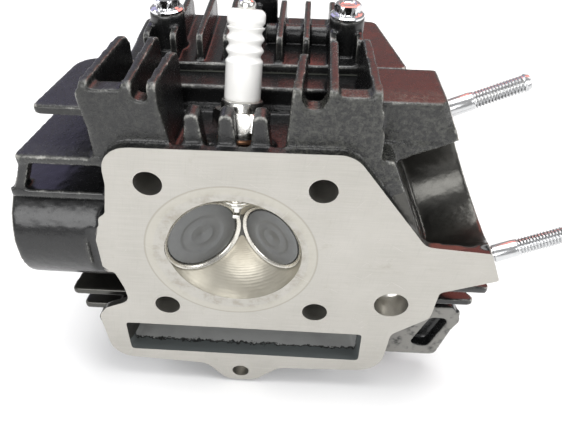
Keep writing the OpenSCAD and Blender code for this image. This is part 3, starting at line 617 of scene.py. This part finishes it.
def remeshed(bm, voxel):
    """The closed surface of bm rebuilt in even faces of about voxel millimetres."""
    rough = mesh_object("rough", bm)
    modifier = rough.modifiers.new("voxels", "REMESH")
    modifier.mode = "VOXEL"
    modifier.voxel_size = voxel * MM
    graph = bpy.context.evaluated_depsgraph_get()
    mesh = bpy.data.meshes.new_from_object(rough.evaluated_get(graph))
    bpy.data.objects.remove(rough)
    return mesh


# Lumps of the cast skin per metre
COARSE, FINE = 420, 1100


def soften(mesh, rounds, grain):
    """Rounds the edges of an even mesh, and lays a shallow cast unevenness on it."""
    points, edges, _ = mesh_arrays(mesh)
    points = relaxed(points, edges, rounds)
    mesh.vertices.foreach_set("co", points.ravel())
    mesh.update()
    _, _, normals = mesh_arrays(mesh)
    spots = [Vector(p) for p in points]
    lift = np.array([noise.noise(p * COARSE) + 0.5 * noise.noise(p * FINE) for p in spots])
    points = points + normals * (lift * grain * MM)[:, None]
    mesh.vertices.foreach_set("co", points.ravel())
    mesh.update()


def mark_edges(mesh, rounds, span):
    """Stores how far each point stands out of the relaxed surface, 1 at span millimetres."""
    points, edges, normals = mesh_arrays(mesh)
    calm = relaxed(points, edges, rounds)
    proud = ((points - calm) * normals).sum(axis=1) / (span * MM)
    mark = mesh.attributes.new("edge", "FLOAT", "POINT")
    mark.data.foreach_set("value", np.clip(proud, -1, 1.5).astype(np.float32))


def on_boss(point, edge=DECK_EDGE):
    """True on the intake boss beside the deck's edge, which stands in front of the deck plane."""
    return point.x < edge * MM and -13 * MM < point.z < 10 * MM


def cut_flat(mesh, material_index):
    """Cuts what stands in front of the deck plane away and closes it with a crisp face."""
    bm = bmesh.new()
    bm.from_mesh(mesh)
    faces = [f for f in bm.faces if not on_boss(f.calc_center_median(), DECK_EDGE - 0.65)]
    edges = {e for f in faces for e in f.edges}
    verts = {v for f in faces for v in f.verts}
    ordered = sorted(verts, key=lambda v: v.index) + sorted(edges, key=lambda e: e.index) + faces
    bmesh.ops.bisect_plane(
        bm, geom=ordered, dist=1e-7, plane_co=(0, 0, 0), plane_no=(0, -1, 0), clear_outer=True,
    )
    rim = [e for e in bm.edges if len(e.link_faces) == 1]
    filled = bmesh.ops.triangle_fill(bm, edges=rim, use_beauty=True, normal=(0, -1, 0))
    faces = [f for f in filled["geom"] if isinstance(f, bmesh.types.BMFace)]
    for face in faces:
        face.material_index = 0 if on_boss(face.calc_center_median()) else material_index
        if face.normal.y > 0:
            face.normal_flip()
    bm.to_mesh(mesh)
    bm.free()


# Material slots of the casting
DECK, BOWL = 1, 2


def head_casting():
    """The casting in fine even faces, rounded edges, and a crisp machined deck."""
    node = "head_casting"
    bm = cad_bmesh(node)
    bmesh.ops.bisect_plane(
        bm, geom=bm.verts[:] + bm.edges[:] + bm.faces[:], dist=1e-7,
        plane_co=(DECK_EDGE * MM, 0, 0), plane_no=(1, 0, 0),
    )
    deck = [
        f for f in bm.faces
        if all(abs(v.co.y) < 2e-6 for v in f.verts) and not on_boss(f.calc_center_median())
    ]
    pushed = bmesh.ops.extrude_face_region(bm, geom=deck)["geom"]
    moved = [v for v in pushed if isinstance(v, bmesh.types.BMVert)]
    bmesh.ops.translate(bm, vec=(0, -3 * MM, 0), verts=moved)
    left_over = [f for f in deck if f.is_valid]
    bmesh.ops.delete(bm, geom=left_over, context="FACES_ONLY")
    bm.normal_update()
    mesh = remeshed(bm, 0.6)
    soften(mesh, 3, 0.05)
    mark_edges(mesh, 8, 0.38)
    cut_flat(mesh, DECK)
    piece = bpy.data.objects.new("casting", mesh)
    scene.collection.objects.link(piece)
    finish_piece(piece, node, [casting_material(), deck_material(), bowl_material()], 50)
    for face in piece.data.polygons:
        centre = face.center
        from_sphere = (centre - CHAMBER * MM).length - CHAMBER_R * MM
        if face.material_index == DECK:
            face.use_smooth = False
        elif centre.y < 14.5 * MM and abs(from_sphere) < 0.6 * MM:
            face.material_index = BOWL


def cover_casting(node):
    """A cast cover in fine even faces with rounded edges."""
    mesh = remeshed(cad_bmesh(node), 0.5)
    soften(mesh, 3, 0.03)
    mark_edges(mesh, 8, 0.30)
    piece = bpy.data.objects.new(node + "_cast", mesh)
    scene.collection.objects.link(piece)
    finish_piece(piece, node, sharp=60)


# ---------------------------------------------------------------- turned and threaded pieces

def axis_frame(origin, direction, across=(1, 0, 0)):
    """Matrix from a local frame in millimetres, Z along the axis, to the part's frame in metres."""
    z = Vector(direction).normalized()
    x = (Vector(across) - Vector(across).dot(z) * z).normalized()
    turn = Matrix((x, z.cross(x), z)).transposed().to_4x4()
    return Matrix.Translation(Vector(origin) * MM) @ turn @ Matrix.Scale(MM, 4)


def flat_radius(angle, across):
    """Radius of a hexagon of that half width at an angle, with a corner at angle 0."""
    sixth = math.pi / 3
    return across / math.cos((angle % sixth) - sixth / 2)


def threads(radius, depth, low, high, pitch=FINE_PITCH):
    """Rows of a screw thread from low to high that fades in and out at its ends."""
    count = max(2, round((high - low) / pitch * 6))
    rows = []
    for i in range(count + 1):
        z = low + (high - low) * i / count
        fade = min(1, (z - low) / pitch, (high - z) / pitch)
        rows.append((radius, z, None, depth * max(0, fade)))
    return rows


def revolve(bm, matrix, rows, steps=96, pitch=FINE_PITCH):
    """Adds the surface of the rows turned about the local Z axis. A radius of 0 closes an end.

    A row is (radius, station), then half the width across flats if it is a hexagon, then the thread's depth.
    """
    rings = []
    for r, z, *more in rows:
        hexagon, thread = (*more, None, None)[:2]
        if r == 0:
            rings.append([bm.verts.new(matrix @ Vector((0, 0, z)))])
            continue
        ring = []
        for k in range(steps):
            angle = 2 * math.pi * k / steps
            radius = r if hexagon is None else min(r, flat_radius(angle, hexagon))
            if thread:
                phase = (z / pitch - k / steps) % 1
                radius -= thread * (1 - abs(2 * phase - 1))
            place = Vector((radius * math.cos(angle), radius * math.sin(angle), z))
            ring.append(bm.verts.new(matrix @ place))
        rings.append(ring)
    closed = len(rings[0]) > 1 and len(rings[-1]) > 1
    pairs = list(zip(rings, rings[1:])) + ([(rings[-1], rings[0])] if closed else [])
    for low, high in pairs:
        for k in range(steps):
            a, b = low[k % len(low)], low[(k + 1) % steps % len(low)]
            c, d = high[(k + 1) % steps % len(high)], high[k % len(high)]
            bm.faces.new(dict.fromkeys((a, b, c, d)))
    return bm


def closed_piece(name, node, bm, sharp=35):
    """Finishes a piece made from a closed mesh."""
    bmesh.ops.recalc_face_normals(bm, faces=bm.faces)
    return finish_piece(mesh_object(name, bm), node, sharp=sharp)


def solid_centres(node):
    """Centres of the separate solids of a CAD node, in millimetres."""
    bm = cad_bmesh(node)
    left = set(bm.verts)
    centres = []
    while left:
        reach = [left.pop()]
        group = []
        while reach:
            vert = reach.pop()
            group.append(vert.co.copy())
            for edge in vert.link_edges:
                other = edge.other_vert(vert)
                if other in left:
                    left.discard(other)
                    reach.append(other)
        low = Vector([min(v[i] for v in group) for i in range(3)])
        high = Vector([max(v[i] for v in group) for i in range(3)])
        centres.append((low + high) / 2 / MM)
    bm.free()
    return sorted(centres, key=tuple)


plug_end = mounts["plug_terminal_end"]
plug_axis = Vector(plug_end["axis"])
PLUG = axis_frame(Vector(plug_end["pos_m"]) / MM - TERMINAL * plug_axis, plug_axis)
VALVES = {
    side: axis_frame(CHAMBER, -Vector(joints[side + "_valve_lift"]["axis"]), (0, 0, 1))
    for side in ("intake", "exhaust")
}


def widest(node, matrix):
    """Largest radius of a CAD node about the local Z axis, in millimetres."""
    back = matrix.inverted()
    return max((back @ v.co).xy.length for v in frame["nodes"][node].data.vertices)


def plug_insulator():
    """Glazed barrel with three rounded ribs and a top bead."""
    rows = [(1.2, 0), (2, 0), (2.9, 12), (3.2, 15), (4.28, 15.5), (4.28, 35.2), (5.3, 35.25)]
    rows += [(5.56, 35.6), (5.6, 36.2), (5.58, 46.2)]
    for i in range(37):
        z = 46.4 + 10 * i / 36
        rows.append((5.28 + 0.42 * math.cos(math.radians(108 * (z - 46.6))), z))
    rows += [(5.0, 56.8), (5.3, 57.3), (5.62, 57.8), (5.7, 58.4), (5.7, 59.6), (5.6, 60.3)]
    rows += [(5.3, 60.9), (4.8, 61.35), (4.3, 61.55), (1.2, 61.6)]
    closed_piece("insulator", "plug_insulator", revolve(bmesh.new(), PLUG, rows), 50)


def plug_metal():
    """Threaded shell with a chamfered hexagon and a rolled rim, the crushed washer and the terminal."""
    rows = [(3.4, 1.5), (4.6, 1.5)] + threads(4.95, 0.55, 1.9, 21.5)
    rows += [(4.6, 22.2), (4.6, 24.2), (7.5, 24.2), (7.6, 24.4), (7.6, 26.2)]
    rows += [(8.2, 26.2, 7.75), (9.0, 26.7, 7.79), (9.0, 31.6, 7.79), (8.1, 32.2, 7.75)]
    rows += [(6.5, 32.25), (6.5, 34.6), (6.3, 35.05), (5.9, 35.2), (4.3, 35.2), (4.3, 15), (3.4, 15)]
    closed_piece("plug_body", "plug_shell", revolve(bmesh.new(), PLUG, rows))
    washer = [(4.96, 22.7), (5.3, 22.6), (7.0, 22.6), (7.35, 22.8), (7.4, 23.4), (7.3, 24.0)]
    washer += [(7.0, 24.2), (5.3, 24.2), (4.96, 24.1)]
    closed_piece("crush_washer", "plug_gasket", revolve(bmesh.new(), PLUG, washer), 60)
    rows = [(0, 45), (1.2, 45), (1.2, 61.6), (2.5, 61.6), (2.6, 61.8), (2.6, 63.2), (2.4, 63.6)]
    rows += [(1.9, 64), (1.9, 66), (2.6, 66.6), (2.8, 67), (2.8, 69.2), (2.55, 69.9), (1.9, 70.4)]
    closed_piece("terminal_nut", "plug_terminal", revolve(bmesh.new(), PLUG, rows + [(0, 70.4)]), 50)


def valve(side):
    """Valve with a dished face, a rounded margin, the seat cone and a tulip neck."""
    node = side + "_valve"
    matrix = VALVES[side]
    head = widest(node, matrix)
    f = VALVE_FACE
    rows = [(0, f + 0.62), (0.7, f + 0.58), (1.1, f + 0.4), (head * 0.28, f + 0.4)]
    rows += [(head * 0.30, f + 0.33), (head * 0.33, f + 0.33), (head * 0.35, f + 0.4)]
    rows += [(head * 0.54, f + 0.4), (head * 0.58, f + 0.3), (head * 0.62, f + 0.06), (head * 0.66, f)]
    rows += [(head - 0.25, f), (head - 0.07, f + 0.07), (head, f + 0.25), (head, f + 1.2)]
    rows += [(head - 1.8, f + 3)]
    for i in range(13):
        angle = math.radians(82 * i / 12)
        rows.append((2.5 + (head - 4.8) * math.cos(angle) ** 2, f + 3.4 + 7 * math.sin(angle)))
    rows += [(2.5, 33), (2.5, 77.6), (2.1, 77.8), (2.1, 79), (2.5, 79.2), (2.5, 85.6)]
    rows += [(2.1, 86), (0, 86)]
    closed_piece(side + "_poppet", node, revolve(bmesh.new(), matrix, rows), 40)


def coil(side, which, mean, wire, turns):
    """A coil spring in a fine sweep, its coils closer together towards both ends."""
    matrix = VALVES[side]
    bm = bmesh.new()
    steps, sides = ((40, 12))
    low, high = SPRING_SEAT + 0.05 + wire, SPRING_TOP - 0.05 - wire
    rings = []
    for i in range(turns * steps + 1):
        t = i / (turns * steps)
        z = low + (high - low) * (t + t * t * (3 - 2 * t)) / 2
        angle = 2 * math.pi * i / steps
        ring = []
        for k in range(sides):
            a = 2 * math.pi * k / sides
            r = mean + wire * math.cos(a)
            place = Vector((r * math.cos(angle), r * math.sin(angle), z + wire * math.sin(a)))
            ring.append(bm.verts.new(matrix @ place))
        rings.append(ring)
    for low_ring, high_ring in zip(rings, rings[1:]):
        for k in range(sides):
            m = (k + 1) % sides
            bm.faces.new((low_ring[k], high_ring[k], high_ring[m], low_ring[m]))
    bm.faces.new(rings[0])
    bm.faces.new(rings[-1][::-1])
    piece = closed_piece(f"{side}_{which}_coil", f"{side}_{which}_spring", bm, 60)
    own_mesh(piece)


def flange_bolts():
    """Plated bolts of the finned cover: flange, dished hexagon head and shank."""
    bm = bmesh.new()
    low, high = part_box("finned_cover_bolts")
    top, under = high.z / MM, low.z / MM
    for centre in solid_centres("finned_cover_bolts"):
        matrix = axis_frame((centre.x, centre.y, 0), (0, 0, 1))
        rows = [(0, under), (1.8, under), (2.5, under + 0.7), (2.5, under + 8), (2.9, under + 8.4)]
        rows += [(2.9, top - 4.5), (5.5, top - 4.5), (5.8, top - 4.3), (5.8, top - 3.7)]
        rows += [(5.2, top - 3.2), (4.3, top - 3.05), (4.55, top - 2.8, 3.98), (4.6, top - 0.6, 3.98)]
        rows += [(4.1, top - 0.1, 3.95), (3.6, top), (2.9, top), (2.5, top - 0.5), (0, top - 0.6)]
        revolve(bm, matrix, rows)
    closed_piece("cover_flange_bolts", "finned_cover_bolts", bm, 30)


def stud_pair():
    """Exhaust studs: plain shank at the flange, then a helical thread with a chamfered end."""
    bm = bmesh.new()
    for name in ("exhaust_stud_upper", "exhaust_stud_lower"):
        mount = mounts[name]
        half = mount["dims"]["length_mm"] / 2
        axis = Vector(mount["axis"])
        matrix = axis_frame(Vector(mount["pos_m"]) / MM - axis * (half + 0.4), axis)
        end = 2 * half + 0.4
        rows = [(0, -13.5), (2.1, -13.5), (2.5, -13.1), (2.5, 0.4), (2.8, 0.4), (3.0, 0.6)]
        rows += [(3.0, 7.2), (2.85, 7.6)] + threads(2.9, 0.5, 7.8, end - 0.6)
        rows += [(2.75, end - 0.4), (2.4, end + 0.3), (2.2, end + 0.75), (0, end + 0.8)]
        revolve(bm, matrix, rows, 64)
    closed_piece("exhaust_stud_pair", "exhaust_studs", bm, 40)


def tappet_cap(side):
    """Screwed cap: chamfered flange and a chamfered hexagon."""
    d = CAP_JOINT
    rows = [(14, d - 8), (16.6, d - 8)] + threads(17, 0.45, d - 7.6, d - 1.8, CAP_PITCH)
    rows += [(16.4, d - 1.6), (16.4, d), (19.6, d), (20, d + 0.4)]
    rows += [(20, d + 1.9), (19.3, d + 2.6), (13.4, d + 2.7), (13.9, d + 3.0, 12.03)]
    rows += [(13.9, d + 6.5, 12.03), (12.9, d + 7.3, 12.0), (11.7, d + 7.4)]
    rows += [(8.2, d + 7.4), (7.6, d + 7.0), (0.4, d + 7.0), (0.4, d + 1.5)]
    rows += [(13.6, d + 1.5), (14, d + 1.1)]
    bm = revolve(bmesh.new(), VALVES[side], rows, pitch=CAP_PITCH)
    closed_piece(side + "_inspection_cap", side + "_tappet_cap", bm)


# ---------------------------------------------------------------- build

place_camera()
studio()
head_casting()
for cover in ("finned_side_cover", "sprocket_cover", "rear_cover"):
    cover_casting(cover)

plug_insulator()
plug_metal()
flange_bolts()
stud_pair()
for side in ("intake", "exhaust"):
    valve(side)
    tappet_cap(side)
    coil(side, "outer", 9.7, 1.15, 5)
    coil(side, "inner", 6.75, 0.75, 7)

for name, cad in frame["nodes"].items():
    if cad.hide_render:
        continue
    finish_piece(mesh_object(name + "_fine", bevelled(name, 0.25)), name)
